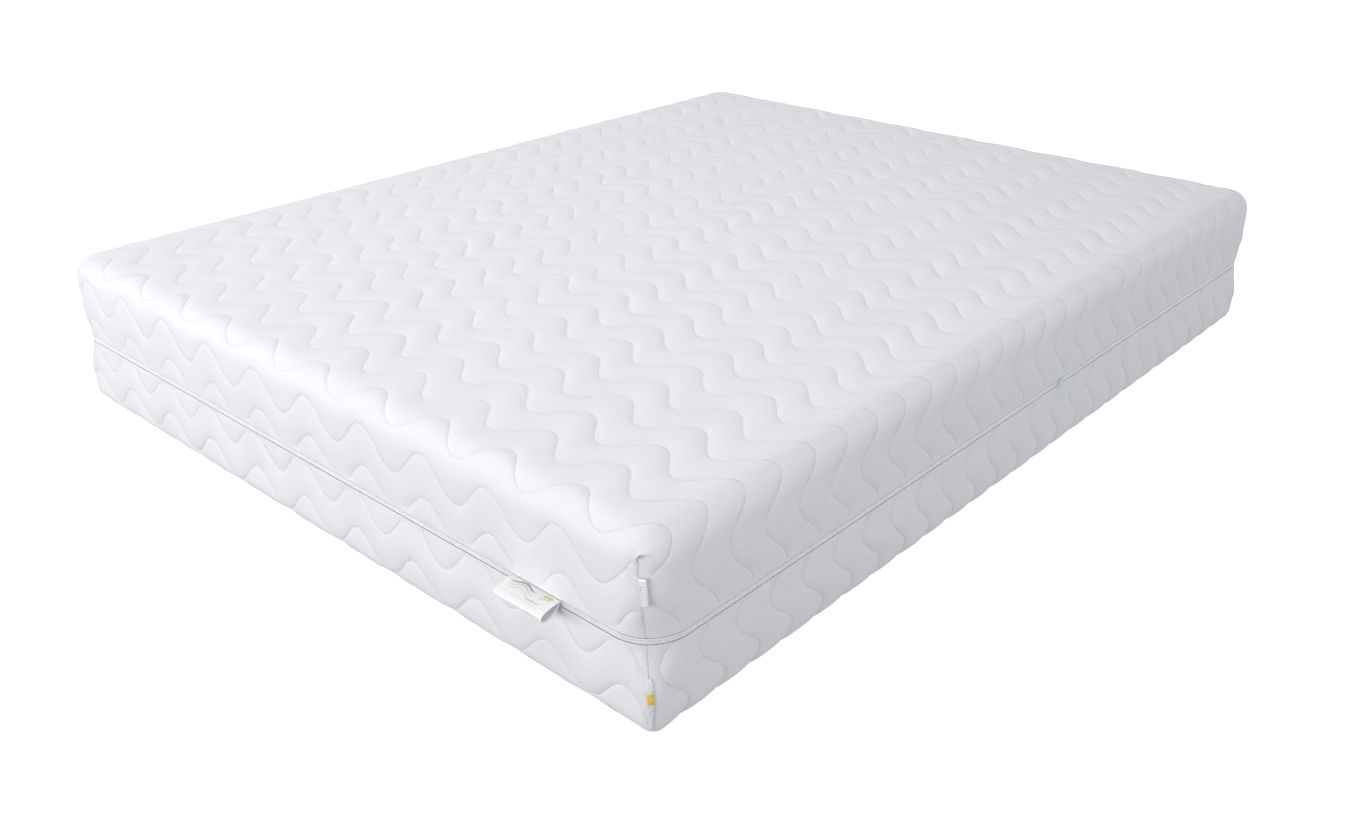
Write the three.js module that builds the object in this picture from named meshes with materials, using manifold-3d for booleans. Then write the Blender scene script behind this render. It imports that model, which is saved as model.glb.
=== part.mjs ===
// A memory foam mattress: three glued foam layers in a stretch sleeve, inside a quilted cover
// made of an upper cap and a lower tray that an all-round zip joins.
// Millimetres, +Z up. The origin is the centre of the underside, -Y is the foot end,
// and +X is the long side that carries the zip slider.
import * as THREE from 'three';
import { mergeVertices } from 'three/addons/utils/BufferGeometryUtils.js';
import Module from 'manifold-3d';

const wasm = await Module();
wasm.setup();

// Overall size
const WIDTH = 1600;
const LENGTH = 2000;
const HEIGHT = 310;
const PLAN_RADIUS = 70;
const TOP_EDGE_RADIUS = 42;
const BOTTOM_EDGE_RADIUS = 28;

// Clearance kept between pieces that touch on the real mattress
const GAP = 0.3;

// Cover layers, from the outside in
const FACE = 1.5;
const WADDING = 6.5;
const BACKING = 0.6;
const SLEEVE = 0.8;
const WADDING_INSET = FACE + GAP;
const BACKING_INSET = WADDING_INSET + WADDING + GAP;
const SLEEVE_INSET = BACKING_INSET + BACKING + GAP;
const FOAM_INSET = SLEEVE_INSET + SLEEVE + GAP;

// Zip, centred on the line where the half covers meet
const ZIP_HEIGHT = 147;
const ZIP_OPENING = 10;
const COIL_SPLIT = 1.2;
const COIL_TALL = 3;
const COIL_DEEP = 2;
const COIL_INSET = 1;
const TAPE_TALL = 12.4;
const TAPE_THICK = 1;
const TAPE_INSET = COIL_INSET + COIL_DEEP + GAP;
const UPPER_HEM = ZIP_HEIGHT + ZIP_OPENING / 2;
const LOWER_HEM = ZIP_HEIGHT - ZIP_OPENING / 2;
const TAPE_ALLOWANCE = COIL_SPLIT / 2 + TAPE_TALL + 1;

// Foam layers, from the top down; the support core takes the rest
const MEMORY_FOAM = 60;
const TRANSITION_FOAM = 50;

// Opening in the sleeve's head end, where it is pulled over the foam
const SLEEVE_SLIT_WIDTH = 1100;
const SLEEVE_SLIT_LOW = 178;
const SLEEVE_SLIT_TALL = 14;

// Corner seams
const SEAM_RADIUS = 0.9;
const UPPER_SEAM_TOP = 275;
const LOWER_SEAM_FOOT = 30;

// Slider, on the +X side
const SLIDER_Y = 100;
const SLIDER_LONG = 12;
const SLIDER_TALL = 8.6;
const PLATE_THICK = 1.6;
const PLATE_CLEARANCE = 0.4;
const BACK_PLATE_THICK = 1.2;
const DIVIDER_THICK = 0.6;
const DIVIDER_LONG = 4;
const BAIL_LONG = 8.4;
const BAIL_HIGH = 4.8;
const BAIL_WIRE = 1.2;
const BAIL_THICK = 1.6;

// Pull, hinged in the slider's bail about a vertical axis
const PULL_LENGTH = 30;
const PULL_WIDTH = 8;
const PULL_TIP_WIDTH = 6;
const PULL_THICK = 1.2;
const PULL_WINDOW_LONG = 5;
const PULL_WINDOW_WIDE = 6;
const PULL_AXIS_HEIGHT = 2.4;
const PULL_YAW = THREE.MathUtils.degToRad(35);
const PULL_DROOP = THREE.MathUtils.degToRad(28);

// Stops at the zip's end
const STOP_LONG = 2.4;
const STOP_DEEP = 1.6;
const STOP_CLEARANCE = 1.2;

// Labels
const LOOP_LABEL_WIDTH = 100;
const LOOP_LABEL_CENTRE_X = 580;
const LOOP_LABEL_REACH = 38;
const CORNER_LABEL_THICK = 1.4;
const UPPER_LABEL = { low: 212, high: 254, width: 12, shift: 6.5 };
const LOWER_LABEL = { low: 18, high: 99, width: 9, shift: 0 };

const CURVE_SEGMENTS = 3;
const EDGE_SEGMENTS = 4;

// Materials: colour, roughness and metalness of each kind of piece
const MATERIALS = {
  knit: [0xf1f2f5, 0.9, 0],
  wadding: [0xf8f8f5, 1, 0],
  backing: [0xe8e9e8, 0.95, 0],
  sleeve: [0xf0efeb, 0.9, 0],
  thread: [0xf6f7f9, 0.7, 0],
  tape: [0xe3e5ea, 0.8, 0],
  coil: [0xe9ebef, 0.45, 0],
  slider: [0xccd3dd, 0.35, 0.6],
  memoryFoam: [0xf3ead0, 0.95, 0],
  transitionFoam: [0xc4d5e2, 0.95, 0],
  supportFoam: [0xebe9e2, 0.95, 0],
  label: [0xfcfcfc, 0.5, 0],
};

function material(kind) {
  const [color, roughness, metalness] = MATERIALS[kind];
  return new THREE.MeshStandardMaterial({ color, roughness, metalness });
}

// Three.js geometry to a manifold solid, and back
function solidOf(geometry) {
  geometry.deleteAttribute('normal');
  geometry.deleteAttribute('uv');
  const merged = mergeVertices(geometry, 1e-4);
  return new wasm.Manifold(new wasm.Mesh({
    numProp: 3,
    vertProperties: Float32Array.from(merged.attributes.position.array),
    triVerts: Uint32Array.from(merged.index.array),
  }));
}

function geometryOf(solid) {
  const mesh = solid.getMesh();
  const geometry = new THREE.BufferGeometry();
  geometry.setAttribute('position', new THREE.BufferAttribute(mesh.vertProperties, 3));
  geometry.setIndex(new THREE.BufferAttribute(mesh.triVerts, 1));
  geometry.computeVertexNormals();
  return geometry;
}

// The mattress outline seen from above, moved in by an inset
function planShape(inset) {
  const x = WIDTH / 2 - inset;
  const y = LENGTH / 2 - inset;
  const r = PLAN_RADIUS - inset;
  const quarter = Math.PI / 2;
  const shape = new THREE.Shape();
  shape.moveTo(-x + r, -y);
  shape.lineTo(x - r, -y);
  shape.absarc(x - r, -y + r, r, -quarter, 0);
  shape.lineTo(x, y - r);
  shape.absarc(x - r, y - r, r, 0, quarter);
  shape.lineTo(-x + r, y);
  shape.absarc(-x + r, y - r, r, quarter, 2 * quarter);
  shape.lineTo(-x, -y + r);
  shape.absarc(-x + r, -y + r, r, 2 * quarter, 3 * quarter);
  return shape;
}

// A block with rounded plan corners and rounded top and bottom edges
function softBlock(inset, low, high, edgeRadius) {
  const geometry = new THREE.ExtrudeGeometry(planShape(inset), {
    depth: high - low - 2 * edgeRadius,
    bevelThickness: edgeRadius,
    bevelSize: edgeRadius,
    bevelOffset: -edgeRadius,
    bevelSegments: EDGE_SEGMENTS,
    curveSegments: CURVE_SEGMENTS,
  });
  geometry.translate(0, 0, low + edgeRadius);
  return solidOf(geometry);
}

// The inside of the whole cover: its top and bottom edges have different radii
function innerBlock(inset) {
  const top = softBlock(inset, -HEIGHT, HEIGHT - inset, TOP_EDGE_RADIUS - inset);
  const bottom = softBlock(inset, inset, 2 * HEIGHT, BOTTOM_EDGE_RADIUS - inset);
  return top.intersect(bottom);
}

// A block with rounded plan corners and square edges
function plainBlock(inset, low, high) {
  const geometry = new THREE.ExtrudeGeometry(planShape(inset), {
    depth: high - low,
    bevelEnabled: false,
    curveSegments: CURVE_SEGMENTS,
  });
  geometry.translate(0, 0, low);
  return solidOf(geometry);
}

function box(xSize, ySize, zSize, x, y, z) {
  return solidOf(new THREE.BoxGeometry(xSize, ySize, zSize).translate(x, y, z));
}

// Everything between two heights
function slab(low, high) {
  const wide = 2 * LENGTH;
  return box(wide, wide, high - low, 0, 0, (low + high) / 2);
}

// A fabric layer of the upper cap: rounded at the top, open below its hem
function capLayer(inset, thickness, hem) {
  const outer = softBlock(inset, 0, HEIGHT - inset, TOP_EDGE_RADIUS - inset);
  const within = inset + thickness;
  const inner = softBlock(within, 0, HEIGHT - within, TOP_EDGE_RADIUS - within);
  return outer.subtract(inner).intersect(slab(hem, HEIGHT + 1));
}

// A fabric layer of the lower tray: rounded at the bottom, open above its hem
function trayLayer(inset, thickness, hem) {
  const outer = softBlock(inset, inset, HEIGHT, BOTTOM_EDGE_RADIUS - inset);
  const within = inset + thickness;
  const inner = softBlock(within, within, HEIGHT, BOTTOM_EDGE_RADIUS - within);
  return outer.subtract(inner).intersect(slab(-1, hem));
}

// A flat strip that runs all the way round, such as a zip tape or coil
function ring(inset, thickness, low, high) {
  const hole = plainBlock(inset + thickness, low - 1, high + 1);
  return plainBlock(inset, low, high).subtract(hole);
}

function add(parent, name, solid, kind) {
  const mesh = new THREE.Mesh(geometryOf(solid), material(kind));
  mesh.name = name;
  parent.add(mesh);
  return mesh;
}

// The three quilted layers of each half cover
function addCoverLayers(group) {
  const layers = [
    ['face', 0, FACE, 0, 'knit'],
    ['wadding', WADDING_INSET, WADDING, TAPE_ALLOWANCE, 'wadding'],
    ['backing', BACKING_INSET, BACKING, TAPE_ALLOWANCE, 'backing'],
  ];
  for (const [layer, inset, thickness, trim, kind] of layers) {
    const upperHem = trim ? ZIP_HEIGHT + trim : UPPER_HEM;
    const lowerHem = trim ? ZIP_HEIGHT - trim : LOWER_HEM;
    add(group, `upper_cover_${layer}`, capLayer(inset, thickness, upperHem), kind);
    add(group, `lower_cover_${layer}`, trayLayer(inset, thickness, lowerHem), kind);
  }
}

// Tape and coil of each half of the zip
function addZipHalves(group) {
  const split = COIL_SPLIT / 2;
  for (const [half, way] of [['upper', 1], ['lower', -1]]) {
    const strip = (tall) => {
      const near = ZIP_HEIGHT + way * split;
      const far = near + way * tall;
      return [Math.min(near, far), Math.max(near, far)];
    };
    add(group, `${half}_zip_tape`, ring(TAPE_INSET, TAPE_THICK, ...strip(TAPE_TALL)), 'tape');
    add(group, `${half}_zip_coil`, ring(COIL_INSET, COIL_DEEP, ...strip(COIL_TALL)), 'coil');
  }
}

// The four vertical corner seams of each half cover
function addCornerSeams(group) {
  const corners = [
    ['foot_right', 1, -1],
    ['foot_left', -1, -1],
    ['head_right', 1, 1],
    ['head_left', -1, 1],
  ];
  const halves = [
    ['upper', UPPER_HEM + 1, UPPER_SEAM_TOP],
    ['lower', LOWER_SEAM_FOOT, LOWER_HEM - 1],
  ];
  const reach = (PLAN_RADIUS + SEAM_RADIUS + GAP) * Math.SQRT1_2 - PLAN_RADIUS;
  for (const [half, low, high] of halves) {
    for (const [corner, sideX, sideY] of corners) {
      const thread = new THREE.CylinderGeometry(SEAM_RADIUS, SEAM_RADIUS, high - low, 8);
      thread.rotateX(Math.PI / 2);
      const seam = add(group, `${half}_corner_seam_${corner}`, solidOf(thread), 'thread');
      const x = sideX * (WIDTH / 2 + reach);
      const y = sideY * (LENGTH / 2 + reach);
      seam.position.set(x, y, (low + high) / 2);
    }
  }
}

// Glued foam block, and the stretch sleeve pulled over it
function addCore(group) {
  const top = HEIGHT - FOAM_INSET;
  const memoryLow = top - MEMORY_FOAM;
  const transitionLow = memoryLow - TRANSITION_FOAM;
  const layers = [
    ['memory_foam_layer', memoryLow + GAP, top, 'memoryFoam'],
    ['transition_foam_layer', transitionLow + GAP, memoryLow, 'transitionFoam'],
    ['support_foam_core', FOAM_INSET, transitionLow, 'supportFoam'],
  ];
  const envelope = innerBlock(FOAM_INSET);
  for (const [name, low, high, kind] of layers) {
    add(group, name, envelope.intersect(slab(low, high)), kind);
  }
  const sleeve = innerBlock(SLEEVE_INSET).subtract(innerBlock(SLEEVE_INSET + SLEEVE));
  const slitZ = SLEEVE_SLIT_LOW + SLEEVE_SLIT_TALL / 2;
  const slit = box(SLEEVE_SLIT_WIDTH, 40, SLEEVE_SLIT_TALL, 0, LENGTH / 2 - SLEEVE_INSET, slitZ);
  add(group, 'inner_sleeve', sleeve.subtract(slit), 'sleeve');
}

// Arch that holds the pull, standing on the slider's outer plate
function bailSolid(plateTop) {
  const half = BAIL_LONG / 2;
  const arch = new THREE.Shape();
  arch.moveTo(-BAIL_WIRE, -half);
  arch.lineTo(BAIL_HIGH - half / 2, -half);
  arch.quadraticCurveTo(BAIL_HIGH, -half, BAIL_HIGH, 0);
  arch.quadraticCurveTo(BAIL_HIGH, half, BAIL_HIGH - half / 2, half);
  arch.lineTo(-BAIL_WIRE, half);
  const geometry = new THREE.ExtrudeGeometry(arch, {
    depth: BAIL_THICK,
    bevelEnabled: false,
    curveSegments: 5,
  });
  geometry.translate(plateTop, 0, -BAIL_THICK / 2);
  const holeLong = BAIL_LONG - 2 * BAIL_WIRE;
  const holeHigh = BAIL_HIGH - BAIL_WIRE;
  const hole = box(holeHigh, holeLong, 2 * BAIL_THICK, plateTop + holeHigh / 2, 0, 0);
  return solidOf(geometry).subtract(hole);
}

// Slider body about its own centre: outer plate, lower flange, divider, back plate and bail
function sliderSolid() {
  const plateInner = -COIL_INSET + PLATE_CLEARANCE;
  const plateTop = plateInner + PLATE_THICK;
  const outline = new THREE.Shape();
  const end = SLIDER_LONG / 2;
  const side = SLIDER_TALL / 2;
  outline.moveTo(-end, -side * 0.7);
  outline.quadraticCurveTo(-end * 0.3, -side, end * 0.6, -side);
  outline.lineTo(end, -side * 0.8);
  outline.lineTo(end, side * 0.8);
  outline.lineTo(end * 0.6, side);
  outline.quadraticCurveTo(-end * 0.3, side, -end, side * 0.7);
  const plate = new THREE.ExtrudeGeometry(outline, {
    depth: PLATE_THICK,
    bevelEnabled: false,
    curveSegments: 4,
  });
  plate.applyMatrix4(new THREE.Matrix4().makeBasis(
    new THREE.Vector3(0, 1, 0),
    new THREE.Vector3(0, 0, 1),
    new THREE.Vector3(1, 0, 0),
  ));
  plate.translate(plateInner, 0, 0);
  const backOuter = -(TAPE_INSET + TAPE_THICK + PLATE_CLEARANCE);
  const back = box(BACK_PLATE_THICK, SLIDER_LONG * 0.8, SLIDER_TALL * 0.8,
    backOuter - BACK_PLATE_THICK / 2, 0, 0);
  const dividerLow = backOuter - BACK_PLATE_THICK / 2;
  const divider = box(plateInner - dividerLow + 0.5, DIVIDER_LONG, DIVIDER_THICK,
    (plateInner + dividerLow + 0.5) / 2, -SLIDER_LONG / 4, 0);
  const flangeLow = -side;
  const coilFoot = -(COIL_SPLIT / 2 + COIL_TALL);
  const flangeThick = coilFoot - GAP - flangeLow;
  const flange = box(PLATE_THICK + COIL_DEEP, SLIDER_LONG * 0.6, flangeThick,
    plateTop - (PLATE_THICK + COIL_DEEP) / 2, SLIDER_LONG * 0.05, flangeLow + flangeThick / 2);
  return solidOf(plate).add(back).add(divider).add(flange).add(bailSolid(plateTop));
}

// Pull about its hinge axis, lying along +X, with a cross bar that passes under the bail
function pullSolid() {
  const half = PULL_WIDTH / 2;
  const tip = PULL_TIP_WIDTH / 2;
  const barRadius = PULL_THICK / 2;
  const tab = new THREE.Shape();
  tab.moveTo(-barRadius, -half);
  tab.lineTo(PULL_WINDOW_LONG + 2, -half);
  tab.quadraticCurveTo(PULL_LENGTH * 0.4, -tip * 0.8, PULL_LENGTH - tip, -tip);
  tab.absarc(PULL_LENGTH - tip, 0, tip, -Math.PI / 2, Math.PI / 2);
  tab.quadraticCurveTo(PULL_LENGTH * 0.4, tip * 0.8, PULL_WINDOW_LONG + 2, half);
  tab.lineTo(-barRadius, half);
  const plate = new THREE.ExtrudeGeometry(tab, {
    depth: PULL_THICK,
    bevelEnabled: false,
    curveSegments: 4,
  });
  plate.translate(0, 0, -PULL_THICK / 2);
  const middle = barRadius + PULL_WINDOW_LONG / 2;
  const window = box(PULL_WINDOW_LONG, PULL_WINDOW_WIDE, 2 * PULL_THICK, middle, 0, 0);
  return solidOf(plate).subtract(window);
}

function addSlider(group) {
  const surface = WIDTH / 2;
  const slider = add(group, 'zip_slider', sliderSolid(), 'slider');
  slider.position.set(surface, SLIDER_Y, ZIP_HEIGHT);

  // the pull's flat side faces sideways: it yaws about +Z, then droops under its own weight
  const plateTop = PLATE_CLEARANCE - COIL_INSET + PLATE_THICK;
  const pull = add(group, 'zip_pull', pullSolid(), 'slider');
  pull.setRotationFromMatrix(new THREE.Matrix4()
    .makeRotationZ(PULL_YAW)
    .multiply(new THREE.Matrix4().makeRotationY(PULL_DROOP))
    .multiply(new THREE.Matrix4().makeRotationX(Math.PI / 2)));
  pull.position.set(surface + plateTop + PULL_AXIS_HEIGHT, SLIDER_Y, ZIP_HEIGHT);
}

// Small clamps on the coils that the slider parks against
function addZipStops(group) {
  const y = SLIDER_Y + SLIDER_LONG / 2 + STOP_CLEARANCE + STOP_LONG / 2;
  const x = WIDTH / 2 - COIL_INSET + GAP + STOP_DEEP / 2;
  for (const [half, way] of [['upper', 1], ['lower', -1]]) {
    const z = ZIP_HEIGHT + way * (COIL_SPLIT + COIL_TALL) / 2;
    add(group, `${half}_zip_stop`, box(STOP_DEEP, STOP_LONG, COIL_TALL, x, y, z), 'slider');
  }
}

// Folded label in the upper hem of the foot end: a drop-shaped section run along X
function addLoopLabel(group) {
  const out = LOOP_LABEL_REACH;
  const drop = new THREE.Shape();
  drop.moveTo(GAP, 4.2);
  drop.quadraticCurveTo(out * 0.5, 4.6, out - 2, 0.5);
  drop.quadraticCurveTo(out + 1.5, -2, out, -6);
  drop.quadraticCurveTo(out - 3, -12, out - 12, -11);
  drop.quadraticCurveTo(out * 0.3, -7, GAP, 2.2);
  const geometry = new THREE.ExtrudeGeometry(drop, {
    depth: LOOP_LABEL_WIDTH,
    bevelEnabled: false,
    curveSegments: 4,
  });
  geometry.applyMatrix4(new THREE.Matrix4().makeBasis(
    new THREE.Vector3(0, -1, 0),
    new THREE.Vector3(0, 0, 1),
    new THREE.Vector3(-1, 0, 0),
  ));
  const label = add(group, 'loop_label', solidOf(geometry), 'label');
  label.position.set(LOOP_LABEL_CENTRE_X + LOOP_LABEL_WIDTH / 2, -LENGTH / 2, ZIP_HEIGHT);
}

// Labels sewn into the seam of the near foot corner, lying against the corner
function addCornerLabels(group) {
  const places = [['corner_label_upper', UPPER_LABEL], ['corner_label_lower', LOWER_LABEL]];
  const standOff = PLAN_RADIUS + 2 * SEAM_RADIUS + 2 * GAP + CORNER_LABEL_THICK / 2;
  for (const [name, place] of places) {
    const tall = place.high - place.low;
    const strip = new THREE.BoxGeometry(CORNER_LABEL_THICK, place.width, tall);
    strip.translate(standOff, place.shift, 0);
    const label = add(group, name, solidOf(strip), 'label');
    label.rotation.z = -Math.PI / 4;
    const x = WIDTH / 2 - PLAN_RADIUS;
    const y = -LENGTH / 2 + PLAN_RADIUS;
    label.position.set(x, y, (place.low + place.high) / 2);
  }
}

const mattress = new THREE.Group();
addCore(mattress);
addCoverLayers(mattress);
addCornerSeams(mattress);
addZipHalves(mattress);
addZipStops(mattress);
addSlider(mattress);
addLoopLabel(mattress);
addCornerLabels(mattress);

export default mattress;
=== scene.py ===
"""Memory foam mattress: the looks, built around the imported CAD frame. Metres, row frame, +Z up.

The two half covers are cut flat and quilted with wave lines, then laid over the mattress. A point
of the flat cloth is (u, v), u across the width and v along the length, from the panel's centre.
"""
import bpy
import math
import numpy as np
from mathutils import Matrix, Vector


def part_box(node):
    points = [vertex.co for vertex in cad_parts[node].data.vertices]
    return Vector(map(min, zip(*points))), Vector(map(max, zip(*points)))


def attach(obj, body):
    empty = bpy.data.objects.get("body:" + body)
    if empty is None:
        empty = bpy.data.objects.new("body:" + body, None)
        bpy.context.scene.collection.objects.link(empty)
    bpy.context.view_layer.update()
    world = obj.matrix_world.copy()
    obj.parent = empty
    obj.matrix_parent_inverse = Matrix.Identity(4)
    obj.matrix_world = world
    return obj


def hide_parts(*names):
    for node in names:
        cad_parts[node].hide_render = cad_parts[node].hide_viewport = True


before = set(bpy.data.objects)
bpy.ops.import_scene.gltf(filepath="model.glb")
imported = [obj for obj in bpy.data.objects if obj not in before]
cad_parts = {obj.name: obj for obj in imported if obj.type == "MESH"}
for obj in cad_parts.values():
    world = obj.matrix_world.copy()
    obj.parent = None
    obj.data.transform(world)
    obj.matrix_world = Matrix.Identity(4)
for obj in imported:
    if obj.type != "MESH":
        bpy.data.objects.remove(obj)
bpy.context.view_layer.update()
MM = 0.001
QUARTER = math.pi / 2
TURN = 2 * math.pi

# ---------- sizes, from the frame
COVER_LOW, COVER_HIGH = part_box("upper_cover_face")
HALF_W, HALF_L, TOP = COVER_HIGH
UPPER_HEM = COVER_LOW.z
LOWER_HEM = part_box("lower_cover_face")[1].z
ZIP_Z = (UPPER_HEM + LOWER_HEM) / 2

# Corners seen from above: crisp at the sewn seams, rounder where the zip runs round them
UPPER_SEAM_CORNER = 46 * MM
LOWER_SEAM_CORNER = 22 * MM
SOFTER = 14 * MM
ZIP_CORNER = 70 * MM
CORNER_FADE = 75 * MM
SEAM_EASE = 2 * MM
ZIP_STRAY = 0.10

# Rounded edges of the foam, and so of the cover over it; where two layers meet it is cut square
TOP_EDGE = 42 * MM
BOTTOM_EDGE = 28 * MM
CUT_EDGE = 3 * MM

# Quilting: one needle, sine waves that run across the width
WAVE = 150 * MM
ROW = 75.5 * MM
SWING = 28 * MM
PILLOW = 1.5 * MM
SHOULDER_DEPTH = 1.6 * MM
SHOULDER = 5.0 * MM
CREASE_DEPTH = 0.4 * MM
CREASE = 1.6 * MM
HEM_TURN = 1.6 * MM
STITCH = 3.5 * MM

# Layers under the quilted face, as depths below it
WADDING = (5.4 * MM, 8.4 * MM)
BACKING = (8.8 * MM, 9.4 * MM)

# How fine the flat cloth's grid is: columns, rows either side of a wave line, seams and hems
COLUMN = 9.0 * MM
UNDER_COLUMN = 24 * MM
UNDER_TRIM = 9 * MM
FINE_ROWS = np.array([-27, -17, -9, -4.5, -2, -0.8, 0, 0.8, 2, 4.5, 9, 17, 27, 37.75]) * MM
COARSE_ROWS = np.array([-22, -9, 0, 9, 22, 37.75]) * MM
SEAM_STEPS = np.array([0, 1, 2, 3.2, 5, 8, 13]) * MM
HEM_STEPS = np.array([0, 1.5, 4, 8]) * MM

# Grids of the foam and its sleeve: the width of the close rows at rounded edges, and the cells
FOAM_ROUND, FOAM_CELL = 26 * MM, 60 * MM
SLEEVE_ROUND, SLEEVE_CELL = 32 * MM, 26 * MM


# ---------- small maths
def smooth(low, high, x):
    t = np.clip((x - low) / (high - low), 0, 1)
    return t * t * (3 - 2 * t)


def mix(a, b, t):
    return a + (b - a) * t


def bump(x, width):
    return np.exp(-(x / width) ** 2)


def ripples(seed, count, shortest, longest):
    """A gentle random field over the cloth: a sum of waves, about 1 high, the same each run."""
    rng = np.random.default_rng(seed)
    length = np.exp(rng.uniform(math.log(shortest), math.log(longest), count))
    turn = rng.uniform(0, TURN, count)
    shift = rng.uniform(0, TURN, count)
    kx = TURN / length * np.cos(turn)
    ky = TURN / length * np.sin(turn)

    def field(u, v):
        total = np.zeros_like(u)
        for i in range(count):
            total += np.sin(kx[i] * u + ky[i] * v + shift[i])
        return total * math.sqrt(2 / count)

    return field


def unit(vectors):
    return vectors / np.maximum(np.linalg.norm(vectors, axis=-1, keepdims=True), 1e-12)


def distances(points):
    """How far along a line of points each one lies."""
    steps = np.linalg.norm(np.diff(points, axis=0), axis=1)
    return np.concatenate([[0], np.cumsum(steps)])


# ---------- how the cloth lies
class Cover:
    """One half cover: its rounded edge, its hem, and where its quilting starts."""

    def __init__(self, name, body, crown, hem, edge, corner, taut, up, first_peak, first_row, stray,
                 seed):
        self.name, self.body, self.up = name, body, up
        self.crown, self.edge, self.corner = crown, edge, corner
        self.taut, self.stray = taut, stray
        self.first_peak, self.first_row = first_peak, first_row
        self.roll = edge * QUARTER
        self.tall = abs(crown - hem) - HEM_TURN
        self.to_hem = self.tall - edge + self.roll
        self.flap_u = HALF_W - edge + self.to_hem
        self.flap_v = HALF_L - edge + self.to_hem
        self.seam_u = HALF_W + SEAM_EASE
        self.seam_v = HALF_L + SEAM_EASE
        self.drift_u = ripples(seed, 7, 0.7, 2.4)
        self.drift_v = ripples(seed + 1, 7, 0.7, 2.4)
        self.loft = ripples(seed + 2, 24, 0.12, 0.6)
        self.slack = ripples(seed + 3, 10, 0.25, 0.9)
        self.pull = ripples(seed + 4, 16, 0.05, 0.16)


def profile(cover, s):
    """Inset, drop below the crown and tilt of the surface, s metres past the crown's flat."""
    edge = cover.edge
    angle = np.clip(s / edge, 0, QUARTER)
    down = np.clip(s - cover.roll, 0, cover.to_hem - cover.roll)
    turn = np.clip((s - cover.to_hem) / HEM_TURN, 0, math.pi)
    back = np.clip(s - cover.to_hem - math.pi * HEM_TURN, 0, None)
    inset = edge * (1 - np.sin(angle)) + HEM_TURN * (1 - np.cos(turn))
    drop = edge * (1 - np.cos(angle)) + down + HEM_TURN * np.sin(turn) - back
    return inset, drop, angle + turn


def at_near_foot(u, v):
    return (u > 0) & (v < 0)


def sewn_radius(cover, u, v):
    """The near foot corner is the crispest; the others are pulled softer."""
    return np.where(at_near_foot(u, v), cover.corner, cover.corner + SOFTER)


def corner_radius(cover, sewn, drop):
    return mix(ZIP_CORNER, sewn, smooth(0, CORNER_FADE, np.abs(cover.tall - drop)))


def seam_stray(cover, u, v, drop):
    """How far, in radians, a corner seam strays from its corner's middle towards the ends."""
    rise = np.clip((cover.tall - drop) / (cover.tall - cover.edge), 0, 1)
    return np.where(at_near_foot(u, v), mix(ZIP_STRAY, cover.stray, rise), 0.07 * np.sign(u * v) * rise)


def wall_bulge(cover, u, v, drop):
    """Walls swell a little between the crown's edge and the zip."""
    t = np.clip((drop - cover.edge * 0.4) / (cover.tall - cover.edge * 0.4), 0, 1)
    belly = np.sin(math.pi * t) ** 1.5
    return belly * (2.6 + 1.2 * cover.slack(u, v)) * MM


def lay(cover, u, v, lift=0.0):
    """Points of the flat cloth laid over the mattress, and lifted off its plain surface."""
    x, y = np.abs(u), np.abs(v)
    sewn = sewn_radius(cover, u, v)
    p = x - (HALF_W - sewn)
    q = y - (HALF_L - sewn)
    past = sewn - cover.edge
    side = p >= q
    s = np.maximum(p, q) - past

    # round the sewn corner the cloth shares its width out over an eighth of a turn
    _, drop, _ = profile(cover, s)
    radius = corner_radius(cover, sewn, drop)
    along = np.where(side, y, x)
    half = np.where(side, HALF_L, HALF_W)
    limit = np.where(side, cover.seam_v, cover.seam_u)
    share = np.clip((along - half + radius) / (limit - half + radius), 0, 1)
    stray = seam_stray(cover, u, v, drop)
    phi = np.where(side, share * (QUARTER / 2 + stray), QUARTER - share * (QUARTER / 2 - stray))

    # on the crown's own corner it lies flat, so ease from one to the other
    both = (p > 0) & (q > 0)
    flat_s = np.hypot(p, q) - past
    flat_phi = np.arctan2(q, p) + stray * share
    ease = smooth(0.1, 1.0, s / cover.roll)
    s = np.where(both, mix(flat_s, s, ease), s)
    phi = np.where(both, mix(flat_phi, phi, ease), phi)

    inset, drop, tilt = profile(cover, s)
    radius = corner_radius(cover, sewn, drop)
    wall = radius - inset + wall_bulge(cover, u, v, drop) + np.sin(tilt) * lift
    cx = np.minimum(x, HALF_W - radius)
    cy = np.minimum(y, HALF_L - radius)
    cx = np.where(side | both, HALF_W - radius, cx)
    cy = np.where(~side | both, HALF_L - radius, cy)
    px = cx + wall * np.cos(phi)
    py = cy + wall * np.sin(phi)
    on_crown = s <= 0
    px = np.where(on_crown, x, px)
    py = np.where(on_crown, y, py)
    z = cover.crown - cover.up * drop + cover.up * np.cos(tilt) * lift
    return np.stack([np.sign(u) * px, np.sign(v) * py, z], -1)


def settle(cover, u, v):
    """The quilting drifts a little as the cover is pulled on, but not at seams and hems."""
    calm = smooth(0, 0.12, np.minimum(past_hem(cover, u, v), seam_distance(cover, u, v)))
    return u + 5 * MM * cover.drift_u(u, v) * calm, v + 3 * MM * cover.drift_v(u, v) * calm


def place(cover, u, v, lift):
    return lay(cover, *settle(cover, u, v), lift)


# ---------- quilting relief
def wave_line(cover, u):
    return cover.first_row + SWING * np.cos(TURN * (u - cover.first_peak) / WAVE)


def wave_slope(cover, u):
    return -SWING * TURN / WAVE * np.sin(TURN * (u - cover.first_peak) / WAVE)


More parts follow.
